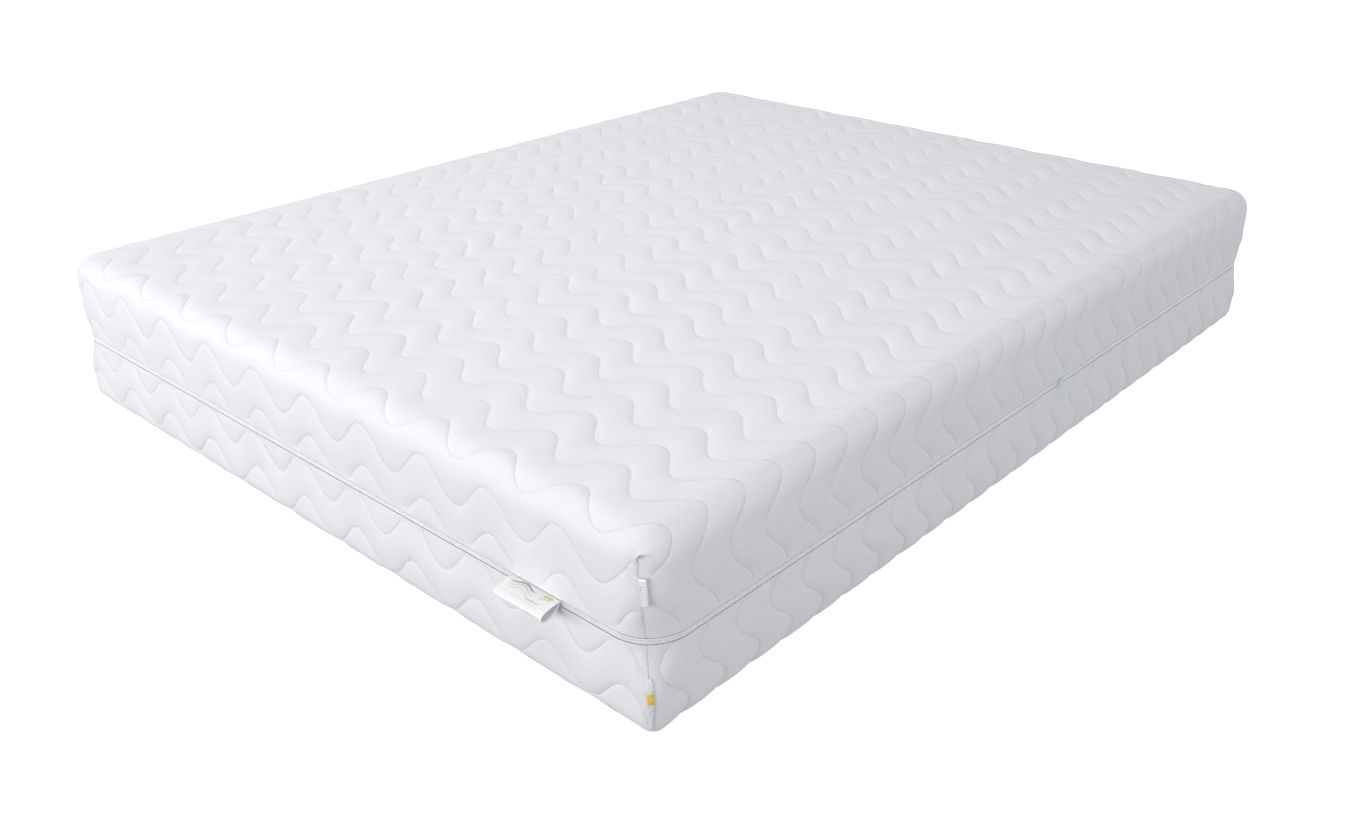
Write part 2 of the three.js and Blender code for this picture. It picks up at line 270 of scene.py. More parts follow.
def relief(cover, u, v):
    """Height of the quilted face: pillows with soft shoulders, tauter or fuller over the edge."""
    away = v - wave_line(cover, u)
    away = np.abs(away - ROW * np.round(away / ROW))
    pillow = 1 - (1 - away / (ROW / 2)) ** 2
    across = away / np.sqrt(1 + wave_slope(cover, u) ** 2)
    shoulder = np.exp(-across / SHOULDER)
    past_crown = np.maximum(np.abs(u) - HALF_W, np.abs(v) - HALF_L) + cover.edge
    taut = 1 - cover.taut * bump(past_crown - cover.roll / 2, cover.roll)
    loft = taut * (1 + 0.16 * cover.loft(u, v))
    crease = np.exp(-across / CREASE)
    return loft * (PILLOW * (pillow - 0.8) - SHOULDER_DEPTH * shoulder) - CREASE_DEPTH * crease


def past_hem(cover, u, v):
    """How far a cloth point is from the hem, inside the cover."""
    return np.minimum(cover.flap_u - np.abs(u), cover.flap_v - np.abs(v))


def seam_distance(cover, u, v):
    """Distance across the cloth to the nearest corner seam, or to its top end."""
    x, y = np.abs(u), np.abs(v)
    on_side = np.where(x >= cover.seam_u - 1e-9, cover.seam_v - y, 9.0)
    on_end = np.where(y >= cover.seam_v - 1e-9, cover.seam_u - x, 9.0)
    above = np.hypot(np.maximum(cover.seam_u - x, 0), np.maximum(cover.seam_v - y, 0))
    inside = (x < cover.seam_u) & (y < cover.seam_v)
    return np.where(inside, above, np.minimum(on_side, on_end))


def seam_run(cover, u, v):
    """How far a cloth point is down the seams from their top ends."""
    return np.maximum(np.abs(u) - cover.seam_u, np.abs(v) - cover.seam_v)


def drag(cover, u, v, seam, run):
    """Soft drag wrinkles that leave the corner seams on the walls."""
    fan = TURN * (run + 0.3 * seam) / (44 * MM) + 2.2 * cover.slack(u, v)
    reach = bump(seam - 16 * MM, 48 * MM) * smooth(0, 14 * MM, seam)
    return 0.55 * MM * np.sin(fan) * reach * smooth(0, 25 * MM, run)


def face_height(cover, u, v):
    seam = seam_distance(cover, u, v)
    run = seam_run(cover, u, v)
    hem = smooth(0, 8 * MM, past_hem(cover, u, v))
    h = relief(cover, u, v) + 0.22 * MM * cover.pull(u, v) + drag(cover, u, v, seam, run)
    h = mix(-0.6 * MM, h, hem)

    # below its top end the seam is a crisp crease with its allowance turned to the long side
    sewn = smooth(6 * MM, 13 * MM, run)
    h = mix(h, -1.0 * MM, sewn * bump(seam, 9 * MM))
    h -= 0.6 * MM * sewn * bump(seam, 1.7 * MM)
    long_side = np.abs(u) >= cover.seam_u
    h += np.where(long_side, 0.6 * MM, 0) * sewn * bump(seam - 2.8 * MM, 1.2 * MM) * hem

    # spare cloth stands up as a small tuck over the seam's top end, with a dimple under it
    top_end = np.hypot(np.abs(u) - cover.seam_u, np.abs(v) - cover.seam_v)
    h += 2.6 * MM * bump(top_end - 3 * MM, 7 * MM) * (1 - sewn)
    h -= 1.8 * MM * bump(run - 15 * MM, 6 * MM) * bump(seam - 3 * MM, 5 * MM)
    return mix(h, 0.8 * np.minimum(h, 0), resting(cover, u, v))


def resting(cover, u, v):
    """How much a cloth point is pressed flat by what the mattress stands on."""
    s = np.maximum(np.abs(u) - HALF_W, np.abs(v) - HALF_L) + cover.edge
    return (1 - smooth(0, 0.9 * cover.roll, s)) * (cover.up < 0)


# ---------- flat cloth as a mesh
def column_places(low, high, wide, low_steps, high_steps):
    """Columns between two limits: even ones, with the given closer steps at either end."""
    a, b = low + low_steps[-1], high - high_steps[-1]
    count = max(1, int(round((b - a) / wide)))
    even = np.linspace(a, b, count + 1)
    return np.concatenate([low + low_steps[:-1], even, high - high_steps[:-1][::-1]])


def hem_extra(turned):
    """Cloth turned in behind the hem."""
    if not turned:
        return np.array([])
    turn = np.array([0.25, 0.5, 0.75, 1.0]) * math.pi * HEM_TURN
    return np.append(turn, turn[-1] + 5 * MM)


def cloth_rows(cover, us, limit, steps, room, row_steps, extra):
    """Row heights over each column: rows follow the wave lines, then run straight to the limit."""
    first = math.floor((-limit - SWING - cover.first_row) / ROW) - 1
    last = math.ceil((limit + SWING - cover.first_row) / ROW) + 1
    base = np.concatenate([k * ROW + row_steps for k in range(first, last + 1)])
    rows = base[:, None] + wave_line(cover, us)[None, :]
    for column in np.flatnonzero(np.abs(np.abs(us) - cover.seam_u) < 1e-9):
        for seam_end in (-cover.seam_v, cover.seam_v):
            nearest = np.argmin(np.abs(rows[:, column] - seam_end))
            rows[nearest, column] = seam_end
    free = limit - steps[-1] * room
    rows = np.clip(rows, -free, free)
    used = ((rows > -free) & (rows < free)).any(1)
    rows = rows[used | np.roll(used, 1) | np.roll(used, -1)]
    high = [limit - step * room for step in steps[-2::-1]]
    high += [limit + more + 0 * us for more in extra]
    low = [-row for row in high[::-1]]
    return np.concatenate([low, rows, high])


def cloth_blocks(cover, column, row_steps, trim=0.0, turned=True):
    """The plus-shaped flat cloth in three blocks: the middle, and a flap on each side."""
    extra = hem_extra(turned)
    flap_u, flap_v = cover.flap_u - trim, cover.flap_v - trim
    middle = column_places(-cover.seam_u, cover.seam_u, column, SEAM_STEPS, SEAM_STEPS)
    rows = cloth_rows(cover, middle, flap_v, HEM_STEPS, 1 + 0 * middle, row_steps, extra)
    blocks = [(middle, rows)]
    flap = column_places(cover.seam_u, flap_u, column, SEAM_STEPS[:1], HEM_STEPS)
    flap = np.concatenate([flap, flap_u + extra])
    for us in (flap, -flap[::-1]):
        room = smooth(0, 15 * MM, np.abs(us) - cover.seam_u)
        blocks.append((us, cloth_rows(cover, us, cover.seam_v, SEAM_STEPS, room, row_steps, [])))
    return blocks


def weld_grids(grids):
    """One list of flat points and faces from several grids, joined where points agree."""
    points, faces, seen = [], [], {}
    for us, rows in grids:
        high, wide = rows.shape
        index = np.zeros((high, wide), int)
        for i in range(wide):
            for j in range(high):
                key = (round(us[i] * 1e6), round(rows[j, i] * 1e6))
                if key not in seen:
                    seen[key] = len(points)
                    points.append((us[i], rows[j, i]))
                index[j, i] = seen[key]
        for j in range(high - 1):
            for i in range(wide - 1):
                ring = (index[j, i], index[j, i + 1], index[j + 1, i + 1], index[j + 1, i])
                ring = [a for n, a in enumerate(ring) if a != ring[n - 1]]
                if len(ring) > 2:
                    faces.append(ring)
    return np.array(points), faces


def add_object(name, data):
    made = bpy.data.objects.new(name, data)
    bpy.context.scene.collection.objects.link(made)
    return made


def mesh_piece(name, points, faces, material, cloth=None):
    """A smooth mesh object; cloth gives each point's place on the flat cloth, kept as UVs."""
    mesh = bpy.data.meshes.new(name)
    mesh.from_pydata(np.asarray(points).tolist(), [], faces)
    if cloth is not None:
        layer = mesh.uv_layers.new(name="cloth")
        loops = np.zeros(len(mesh.loops), np.int32)
        mesh.loops.foreach_get("vertex_index", loops)
        layer.data.foreach_set("uv", np.asarray(cloth)[loops].astype(np.float32).ravel())
    mesh.polygons.foreach_set("use_smooth", [True] * len(mesh.polygons))
    mesh.materials.append(material)
    mesh.update()
    return add_object(name, mesh)


def stands_for(piece, body, slot, *nodes):
    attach(piece, body)
    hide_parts(*nodes)


def close_shell(outer, inner, faces):
    """Points and faces of a closed layer between two surfaces that share their faces."""
    count = len(outer)
    edges = dict.fromkeys((ring[n - 1], a) for ring in faces for n, a in enumerate(ring))
    rim = [(b, a, a + count, b + count) for a, b in edges if (b, a) not in edges]
    back = [[a + count for a in ring[::-1]] for ring in faces]
    return np.concatenate([outer, inner]), list(faces) + back + rim


def grid_faces(rows, columns, round_rows=False, round_columns=False):
    """Faces of a grid of points listed row by row, closed round on itself or not."""
    faces = []
    for i in range(rows - (not round_rows)):
        a, b = i * columns, (i + 1) % rows * columns
        for k in range(columns - (not round_columns)):
            j = (k + 1) % columns
            faces.append((a + k, b + k, b + j, a + j))
    return faces


def repeated(pattern, each, count):
    """The faces of one small solid, for a row of such solids with that many points each."""
    return [tuple(n * each + a for a in ring) for n in range(count) for ring in pattern]


def flat_cloth(cover, *how):
    """Flat points and outward faces of a cover's cloth."""
    flat, faces = weld_grids(cloth_blocks(cover, *how))
    if cover.up < 0:
        faces = [ring[::-1] for ring in faces]
    return flat, faces


def pattern_place(cover, flat):
    """Cloth points measured from the first wave's peak, so one material fits both covers."""
    return flat - np.array([cover.first_peak, cover.first_row])


# ---------- quilted covers
def build_cover_face(cover, material):
    flat, faces = flat_cloth(cover, COLUMN, FINE_ROWS)
    u, v = flat.T
    points = place(cover, u, v, face_height(cover, u, v))
    piece = mesh_piece(cover.name + "_quilt", points, faces, material, pattern_place(cover, flat))
    stands_for(piece, cover.body, "quilt_knit", cover.name + "_cover_face")


def build_under_layer(cover, layer, depths, wave_share, material):
    """Wadding or backing: a thin closed layer that follows the quilting more gently."""
    flat, faces = flat_cloth(cover, UNDER_COLUMN, COARSE_ROWS, UNDER_TRIM, False)
    u, v = flat.T
    wave = wave_share * relief(cover, u, v)
    outer, inner = (place(cover, u, v, wave - depth) for depth in depths)
    points, faces = close_shell(outer, inner, faces)
    cloth = pattern_place(cover, np.concatenate([flat, flat]))
    piece = mesh_piece(cover.name + "_" + layer, points, faces, material, cloth)
    stands_for(piece, cover.body, layer, cover.name + "_cover_" + layer)


# ---------- stitches
def spindles(centre, along, across, out, long, wide, high):
    """Thread stitches: each is a spindle of eight faces about its own centre."""
    along, across, out = along * long / 2, across * wide / 2, out * high / 2
    ring = [centre + across, centre + out, centre - across, centre - out]
    points = np.stack([centre - along] + ring + [centre + along], 1).reshape(-1, 3)
    pattern = []
    for k in range(4):
        here, there = 1 + k, 1 + (k + 1) % 4
        pattern += [(0, there, here), (5, here, there)]
    return points, repeated(pattern, 6, len(centre))


def cloth_frames(cover, u, v, du, dv, lift):
    """Place and directions of thread that lies on the cloth and runs along (du, dv)."""
    step = 0.5 * MM
    centre = place(cover, u, v, lift)
    ahead = place(cover, u + du * step, v + dv * step, lift)
    above = place(cover, u, v, lift + step)
    along = unit(ahead - centre)
    out = unit(above - centre)
    across = unit(np.cross(out, along))
    return centre, along, across, np.cross(along, across)


def wave_stitches(cover):
    """Cloth places and directions of every quilting stitch, at an even pitch along the waves."""
    fine = np.linspace(-cover.flap_u, cover.flap_u, 6000)
    travelled = distances(np.stack([fine, wave_line(cover, fine)], -1))
    count = int(travelled[-1] / STITCH)
    u = np.interp((np.arange(count) + 0.5) * STITCH, travelled, fine)
    first = math.ceil((-cover.flap_v - SWING - cover.first_row) / ROW)
    last = math.floor((cover.flap_v + SWING - cover.first_row) / ROW)
    uu, vv = (grid.ravel() for grid in np.meshgrid(u, np.arange(first, last + 1) * ROW))
    vv = vv + wave_line(cover, uu)
    notch = (np.abs(uu) > cover.seam_u) & (np.abs(vv) > cover.seam_v)
    keep = (past_hem(cover, uu, vv) > 3 * MM) & (seam_distance(cover, uu, vv) > 5 * MM) & ~notch
    uu, vv = uu[keep], vv[keep]
    slope = wave_slope(cover, uu)
    run = np.sqrt(1 + slope ** 2)
    return uu, vv, 1 / run, slope / run


def build_quilt_thread(cover, material):
    u, v, du, dv = wave_stitches(cover)
    lift = face_height(cover, u, v) + 0.12 * MM
    frames = cloth_frames(cover, u, v, du, dv, lift)
    points, faces = spindles(*frames, 3.0 * MM, 0.75 * MM, 0.6 * MM)
    piece = mesh_piece(cover.name + "_quilt_thread", points, faces, material)
    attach(piece, cover.body)


def build_corner_seams(cover, material):
    """Stitches down each corner seam, pulled into its crease."""
    count = int((cover.flap_v - cover.seam_v - 18 * MM) / STITCH)
    run = 14 * MM + (np.arange(count) + 0.5) * STITCH
    for end, way_y in (("foot", -1), ("head", 1)):
        for side, way_x in (("right", 1), ("left", -1)):
            u = np.full(count, way_x * (cover.seam_u - 0.4 * MM))
            v = way_y * (cover.seam_v + run)
            lift = face_height(cover, u, v) + 0.25 * MM
            frames = cloth_frames(cover, u, v, 0, way_y, lift)
            points, faces = spindles(*frames, 2.9 * MM, 0.8 * MM, 0.7 * MM)
            corner = end + "_" + side
            piece = mesh_piece(f"{cover.name}_seam_stitches_{corner}", points, faces, material)
            stands_for(piece, cover.body, "seam_thread", f"{cover.name}_corner_seam_{corner}")


# ---------- zip
def zip_path(pitch):
    """Points and outward directions once round the mattress at the zip, at an even pitch."""
    corner = np.array([HALF_W - ZIP_CORNER, HALF_L - ZIP_CORNER])
    lengths = np.tile([2 * corner[1], ZIP_CORNER * QUARTER, 2 * corner[0], ZIP_CORNER * QUARTER], 2)
    ends = np.cumsum(lengths)
    count = int(round(ends[-1] / pitch))
    t = np.arange(count) * ends[-1] / count
    part = np.searchsorted(ends, t, side="right")
    quarter, bend = part // 2, part % 2
    into = t - (ends - lengths)[part]
    angle = quarter * QUARTER + bend * into / ZIP_CORNER
    outs = np.stack([np.cos(angle), np.sin(angle)], -1)
    face = quarter * QUARTER
    way = np.stack([-np.sin(face), np.cos(face)], -1)
    centre = corner * np.array([(1, -1), (1, 1), (-1, 1), (-1, -1)])[quarter]
    run = np.where(bend, lengths[part - 1], into)
    return t, centre + run[:, None] * way + ZIP_CORNER * outs, outs


def loft_ring(section, pitch, wobble):
    """A closed strip with the given section, (outward, up) points, run round the zip line."""
    t, points, outs = zip_path(pitch)
    count, sides = len(t), len(section)
    wave_out = wobble * np.sin(TURN * t / 0.31) * np.sin(TURN * t / 0.083)
    wave_up = 0.6 * wobble * np.sin(TURN * t / 0.23 + 1.3)
    verts = np.zeros((count, sides, 3))
    for k, (out, up) in enumerate(section):
        verts[:, k, :2] = points + outs * (out + wave_out)[:, None]
        verts[:, k, 2] = up + wave_up
    cloth = np.stack(np.broadcast_arrays(t[:, None], distances(section)[None, :]), -1)
    faces = grid_faces(count, sides, True, True)
    return verts.reshape(-1, 3), faces, cloth.reshape(-1, 2)


def build_zip_tape(cover, material):
    """Woven tape with a corded edge behind the coil."""
    node = cover.name + "_zip_tape"
    low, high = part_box(node)
    outer = high.x - HALF_W
    near = low.z if cover.up > 0 else high.z
    outline = [(0.15, 0.0), (0.0, 0.4), (0.0, 3.2), (0.25, 4.0), (0.25, 8.5), (0.25, 11.8),
               (0.45, 12.4), (0.75, 11.8), (0.75, 4.0), (1.0, 3.2), (1.0, 0.4), (0.85, 0.0)]
    stretch = cover.up * (high.z - low.z) / max(rise for _, rise in outline)
    section = np.array([(outer - inset * MM, near + rise * stretch) for inset, rise in outline])
    points, faces, cloth = loft_ring(section[::-cover.up], 12 * MM, 0.12 * MM)
    piece = mesh_piece(cover.name + "_tape", points, faces, material, cloth)
    stands_for(piece, cover.body, "zip_tape", node)


def build_zip_coil(cover, shift, material):
    """The coil's turns: rounded bars across the tape, with heads that mesh at the zip line."""
    node, up = cover.name + "_zip_coil", cover.up
    low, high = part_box(node)
    pitch, half_long, half_deep, sides = 2.0 * MM, 0.97 * MM, 0.95 * MM, 6
    middle = (high.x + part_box(cover.name + "_zip_tape")[1].x) / 2 - HALF_W
    root = (high.z if up > 0 else low.z) + up * 0.9 * MM
    tall = abs(root - ZIP_Z) + 0.45 * MM
    _, points, outs = zip_path(pitch)
    out = np.pad(outs, ((0, 0), (0, 1)))
    along = np.cross((0, 0, 1), out)
    base = np.pad(points, ((0, 0), (0, 1))) + (0, 0, root) + out * middle + along * pitch * shift

    # each bar: its root, rings of points at shares of its height, and its tip
    stations = [(0.02, 0.75), (0.08, 1.0), (0.66, 1.0), (0.92, 0.55)]
    rings = [base]
    for share, size in stations:
        for k in range(sides):
            angle = TURN * k / sides
            offset = along * math.cos(angle) * size * half_long
            offset = offset + out * math.sin(angle) * math.sqrt(size) * half_deep
            rings.append(base + offset - (0, 0, up * share * tall))
    rings.append(base - (0, 0, up * tall))
    verts = np.stack(rings, 1)
    each = verts.shape[1]
    last = each - 1 - sides
    pattern = []
    for k in range(sides):
        j = (k + 1) % sides
        pattern.append((0, 1 + j, 1 + k))
        for a in range(1, last, sides):
            pattern.append((a + k, a + j, a + sides + j, a + sides + k))
        pattern.append((last + k, last + j, each - 1))
    if up > 0:
        pattern = [ring[::-1] for ring in pattern]
    faces = repeated(pattern, each, len(verts))
    piece = mesh_piece(cover.name + "_coil", verts.reshape(-1, 3), faces, material)
    stands_for(piece, cover.body, "zip_coil", node)


def finish_hardware(material):
    """Slider, pull and stops keep their CAD shape, with their cast edges eased."""
    for name in ("zip_slider", "zip_pull", "upper_zip_stop", "lower_zip_stop"):
        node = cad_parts[name]
        node.data.materials.clear()
        node.data.materials.append(material)
        ease = node.modifiers.new("eased edges", "BEVEL")
        ease.width = 0.22 * MM
        ease.segments = 2
        ease.limit_method = "ANGLE"
        ease.angle_limit = math.radians(35)


# ---------- labels
def curve_through(points, count):
    """An even walk along a smooth curve through the given points."""
    points = np.array(points, float)
    padded = np.concatenate([2 * points[:1] - points[1:2], points, 2 * points[-1:] - points[-2:-1]])
    t = np.linspace(0, 1, 12, endpoint=False)[:, None]
    walk = []
    for n in range(len(points) - 1):
        a, b, c, d = padded[n:n + 4]
        walk.append(0.5 * (2 * b + (c - a) * t + (2 * a - 5 * b + 4 * c - d) * t ** 2
                           + (3 * b - a - 3 * c + d) * t ** 3))
    walk = np.concatenate(walk + [points[-1:]])
    run = distances(walk)
    even = np.linspace(0, run[-1], count)
    return np.stack([np.interp(even, run, walk[:, k]) for k in range(walk.shape[1])], -1), even


def build_label(name, node, cover, grid, thick, along, across, material):
    """A thin closed strip of satin through a grid of points, folded against a cover."""
    rows, columns = grid.shape[:2]
    normal = unit(np.cross(np.gradient(grid, axis=0), np.gradient(grid, axis=1))).reshape(-1, 3)
    points = grid.reshape(-1, 3)
    faces = grid_faces(rows, columns)
    points, faces = close_shell(points + normal * thick / 2, points - normal * thick / 2, faces)
    flat = np.stack(np.broadcast_arrays(across[None, :], along[:, None]), -1).reshape(-1, 2)
    piece = mesh_piece(name, points, faces, material, np.concatenate([flat, flat]))
    stands_for(piece, cover.body, "label_satin", node)


# Drop-shaped path of the loop label, (out, up) in mm from the cover's surface at the zip
LOOP_PATH = [(-2.6, 4.75), (0, 4.8), (10, 4.7), (22, 2.9), (31, 0.3), (36, -2.6), (37.8, -5.8),
             (37.0, -9.2), (33, -12.2), (26, -13.4), (17, -11.6), (8.5, -5.6), (3, 1.0), (0, 3.9),
             (-2.6, 4.1)]


def build_loop_label(cover, material):
    """Satin loop sewn into the upper hem of the foot end, open at both sides."""
    low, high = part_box("loop_label")
    path, along = curve_through(np.array(LOOP_PATH) * MM, 56)
    across = np.linspace(0, high.x - low.x, 29)
    out, up = path[:, :1], path[:, 1:]
    share = across[None, :] / across[-1]
    free = smooth(0, 30 * MM, out)
    sag = -0.9 * MM * np.sin(TURN * share * 0.8 + 0.4) * free
    skew = 1.2 * MM * (share - 0.5) * free
    x = low.x + across[None, :] + 0.8 * MM * free
    grid = np.stack([x, -HALF_L - out - skew, ZIP_Z + up + sag], -1)
    build_label("satin_loop_label", "loop_label", cover, grid, 0.3 * MM, along, across, material)


def cloth_reach(cover, z):
    """How far past the crown's flat the cloth has run when it is at a height."""
    drop = np.abs(cover.crown - z)
    angle = np.arccos(np.clip(1 - drop / cover.edge, 0, 1))
    return np.where(drop < cover.edge, cover.edge * angle, drop - cover.edge + cover.roll)


# Folded path of the upper corner label, (along the long side, out) in mm from the seam
UPPER_LABEL_PATH = [(-0.8, -1.8), (0.8, 0.6), (3.1, 1.8), (6.4, 3.0), (8.2, 4.0), (9.0, 4.9),
                    (8.4, 5.8), (6.5, 5.5), (3.5, 4.2), (1.1, 2.2), (-0.6, -1.2)]


def build_upper_corner_label(cover, material):
    """Folded label in the near foot seam; it lies back along the long side."""
    low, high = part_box("corner_label_upper")
    path, along = curve_through(np.array(UPPER_LABEL_PATH) * MM, 44)
    across = np.linspace(0, high.z - low.z, 17)
    u = HALF_W - cover.edge + cloth_reach(cover, low.z + across)[None, :] + 0 * path[:, :1]
    lean = 0.9 * MM * np.sin(math.pi * across / across[-1] - 0.5)[None, :]
    away = path[:, :1] * (1 + lean / path.max())
    grid = lay(cover, u, away - cover.seam_v, path[:, 1:] + 0 * u)
    grid[..., 2] += 0.10 * path[:, :1]
    build_label("satin_corner_label_upper", "corner_label_upper", cover, grid, 0.28 * MM, along,
                across, material)


# Flattened loop of the lower corner label, (sideways, out) in mm from the seam where it is widest
LOWER_LABEL_PATH = [(-1.5, -2.4), (-0.5, -0.6), (3.4, -0.1), (4.5, 0.7), (3.6, 1.5), (0, 1.8),
                    (-3.6, 1.5), (-4.5, 0.7), (-3.2, -0.1), (0.6, -0.7), (1.4, -2.4)]


def build_lower_corner_label(cover, material):
    """Narrow folded label that hangs over the near foot seam down to the floor."""
    low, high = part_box("corner_label_lower")
    across = np.linspace(0, high.z - low.z, 33)
    z = low.z + across
    wide = mix(3.8 * MM, 7.4 * MM, smooth(18 * MM, 34 * MM, across))
    wide = wide * mix(0.55, 1.0, smooth(0, 7 * MM, across[-1] - across))
    path, along = curve_through(np.array(LOWER_LABEL_PATH) * MM, 44)
    v = cover.edge - HALF_L - cloth_reach(cover, z)
    corner = lay(cover, np.full_like(v, cover.seam_u), v, 0 * v)
    out = np.array([1, -1, 0]) / math.sqrt(2)
    tangent = np.array([1, 1, 0]) / math.sqrt(2)
    lift = (0.6 + 0.5 * np.sin(across / (23 * MM))) * MM
    side = path[:, :1] * wide[None, :] / wide.max()
    depth = path[:, 1:] + lift[None, :]
    grid = corner[None, :, :] + side[..., None] * tangent + depth[..., None] * out
    grid[..., 2] = z[None, :] + 0.05 * side
    build_label("satin_corner_label_lower", "corner_label_lower", cover, grid, 0.25 * MM, along,
                across, material)


# ---------- foam core and sleeve
def edge_places(half, edge, cell, extra=()):
    """Grid lines from -half to half, closer together in the rounded edges."""
    close = half - edge * np.array([1, 0.75, 0.5, 0.25, 0])
    count = max(1, int(round(2 * (half - edge) / cell)))
    even = np.linspace(-(half - edge), half - edge, count + 1)
    return np.unique(np.round(np.concatenate([-close, even, close, extra]), 6))


def box_surface(xs, ys, zs):
    """Points and outward faces of a box's surface, gridded along the given lines."""
    lines = (xs, ys, zs)
    rings = []
    for fixed in range(3):
        a_axis, b_axis = (fixed + 1) % 3, (fixed + 2) % 3
        a, b = np.meshgrid(lines[a_axis], lines[b_axis], indexing="ij")
        for end, way in ((0, -1), (-1, 1)):
            grid = np.zeros((*a.shape, 3))
            grid[..., fixed], grid[..., a_axis], grid[..., b_axis] = lines[fixed][end], a, b
            ring = [grid[:-1, :-1], grid[1:, :-1], grid[1:, 1:], grid[:-1, 1:]]
            rings.append(np.stack(ring[::way], 2).reshape(-1, 3))
    points, index = np.unique(np.round(np.concatenate(rings), 6), axis=0, return_inverse=True)
    return points, index.reshape(-1, 4).tolist()


def rounded(points, corner, top_edge, bottom_edge):
    """A box's surface points moved so that its plan corners and its edges are round."""
    low = points[:, 2].min()
    half_w, half_l, high = points.max(0)
    p = points.copy()
    for edge, limit, way in ((top_edge, high, 1), (bottom_edge, low, -1)):
        q = np.clip((way * (points[:, 2] - limit) + edge) / edge, 0, 1)
        near = []
        for axis, half in ((0, half_w), (1, half_l)):
            d = half - np.abs(points[:, axis])
            share = 1 - np.clip(d / edge, 0, 1)
            pulled = half - edge * (1 - share * np.sqrt(1 - q ** 2 / 2))
            moved = np.sign(points[:, axis]) * pulled
            p[:, axis] = np.where((d < edge) & (q > 0), moved, p[:, axis])
            near.append(share)
        share = np.maximum(*near)
        eased = limit - way * edge * (1 - q * np.sqrt(1 - share ** 2 / 2))
        p[:, 2] = np.where(q > 0, eased, p[:, 2])
    x = np.clip((np.abs(p[:, 0]) - half_w + corner) / corner, 0, 1)
    y = np.clip((np.abs(p[:, 1]) - half_l + corner) / corner, 0, 1)
    both = (x > 0) & (y > 0)
    for axis, half, a, b in ((0, half_w, x, y), (1, half_l, y, x)):
        turned = half - corner + corner * a * np.sqrt(1 - b ** 2 / 2)
        p[:, axis] = np.where(both, np.sign(p[:, axis]) * turned, p[:, axis])
    return p


def build_foam_layer(node, top_edge, bottom_edge, material):
    low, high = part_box(node)
    corner = ZIP_CORNER - (HALF_W - high.x)
    xs, ys = (edge_places(half, FOAM_ROUND, FOAM_CELL) for half in (high.x, high.y))
    rise = np.array([0, 0.25, 0.5, 0.75, 1])
    zs = np.concatenate([low.z + bottom_edge * rise, high.z - top_edge * rise[::-1]])
    flat, faces = box_surface(xs, ys, zs)
    points = rounded(flat, corner, top_edge, bottom_edge)
    name = node.replace("_layer", "").replace("_core", "")
    piece = mesh_piece(name + "_block", points, faces, material)
    stands_for(piece, "mattress_base", name, node)


def build_sleeve(material):
    """Stretch sleeve round the foam, with the slit it was pulled on through at the head end."""
    low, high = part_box("inner_sleeve")
    inset = HALF_W - high.x
    slit_low, slit_high, slit_half = 178 * MM, 192 * MM, 550 * MM
    xs = edge_places(high.x, SLEEVE_ROUND, SLEEVE_CELL, (-slit_half, slit_half))
    ys = edge_places(high.y, SLEEVE_ROUND, SLEEVE_CELL)
    middle = edge_places(110 * MM, 12 * MM, 20 * MM) + ZIP_Z
    low_rows = low.z + (BOTTOM_EDGE - inset) * np.array([0, 0.3, 0.65, 1])
    high_rows = high.z - (TOP_EDGE - inset) * np.array([1, 0.75, 0.5, 0.25, 0])
    zs = np.unique(np.round(np.concatenate([low_rows, middle, high_rows, [slit_low, slit_high]]), 6))
    zs = zs[(zs >= low.z) & (zs <= high.z)]
    flat, faces = box_surface(xs, ys, zs)
    outer, inner = (rounded(flat * (1 - deeper / flat.max(0)), ZIP_CORNER - inset - deeper,
                            TOP_EDGE - inset - deeper, BOTTOM_EDGE - inset)
                    for deeper in (0, 0.7 * MM))

    # soft stretch lines, stronger on the walls
    x, y, z = flat.T
    long_side = high.x - np.abs(x) < 1 * MM
    wall = long_side | (high.y - np.abs(y) < 1 * MM)
    folds = ripples(71, 18, 0.07, 0.3)(np.where(long_side, y, x) + 0.4 * z, 1.6 * z)
    lines = ripples(72, 14, 0.12, 0.7)(x, y)
    lift = np.where(wall, 0.25 * folds, 0.12 * lines) * MM - 0.35 * MM
    direction = unit(outer - inner)
    outer = outer + direction * lift[:, None]
    inner = outer - direction * 0.6 * MM

    # the slit gapes like a lens
    in_slit = (z >= slit_low - 1e-6) & (z <= slit_high + 1e-6) & (np.abs(x) <= slit_half)
    on_slit = in_slit & (high.y - y < 1 * MM)
    gape = np.sqrt(np.clip(1 - (x / slit_half) ** 2, 0.0004, 1))
    centre = (slit_low + slit_high) / 2
    for shape in (outer, inner):
        shape[:, 2] = np.where(on_slit, centre + (shape[:, 2] - centre) * gape, shape[:, 2])
    faces = [ring for ring in faces if not all(on_slit[a] for a in ring)]
    points, faces = close_shell(outer, inner, faces)
    piece = mesh_piece("stretch_sleeve", points, faces, material)
    stands_for(piece, "mattress_base", "sleeve_knit", "inner_sleeve")


# ---------- materials
class Nodes:
    """Makes and joins the shader nodes of one tree."""

    def __init__(self, tree):
        self.tree = tree

    def join(self, socket, value):
        if isinstance(value, bpy.types.NodeSocket):
            self.tree.links.new(value, socket)
        else:
            socket.default_value = value

    def node(self, kind, inputs, **settings):
        made = self.tree.nodes.new("ShaderNode" + kind)
        for key, value in settings.items():
            setattr(made, key, value)
        for key, value in inputs.items():
            self.join(made.inputs[key], value)
        return made

    def math(self, operation, *values):
        return self.node("Math", dict(enumerate(values)), operation=operation).outputs[0]

    def vectors(self, operation, a, b, output="Vector"):
        return self.node("VectorMath", {0: a, 1: b}, operation=operation).outputs[output]


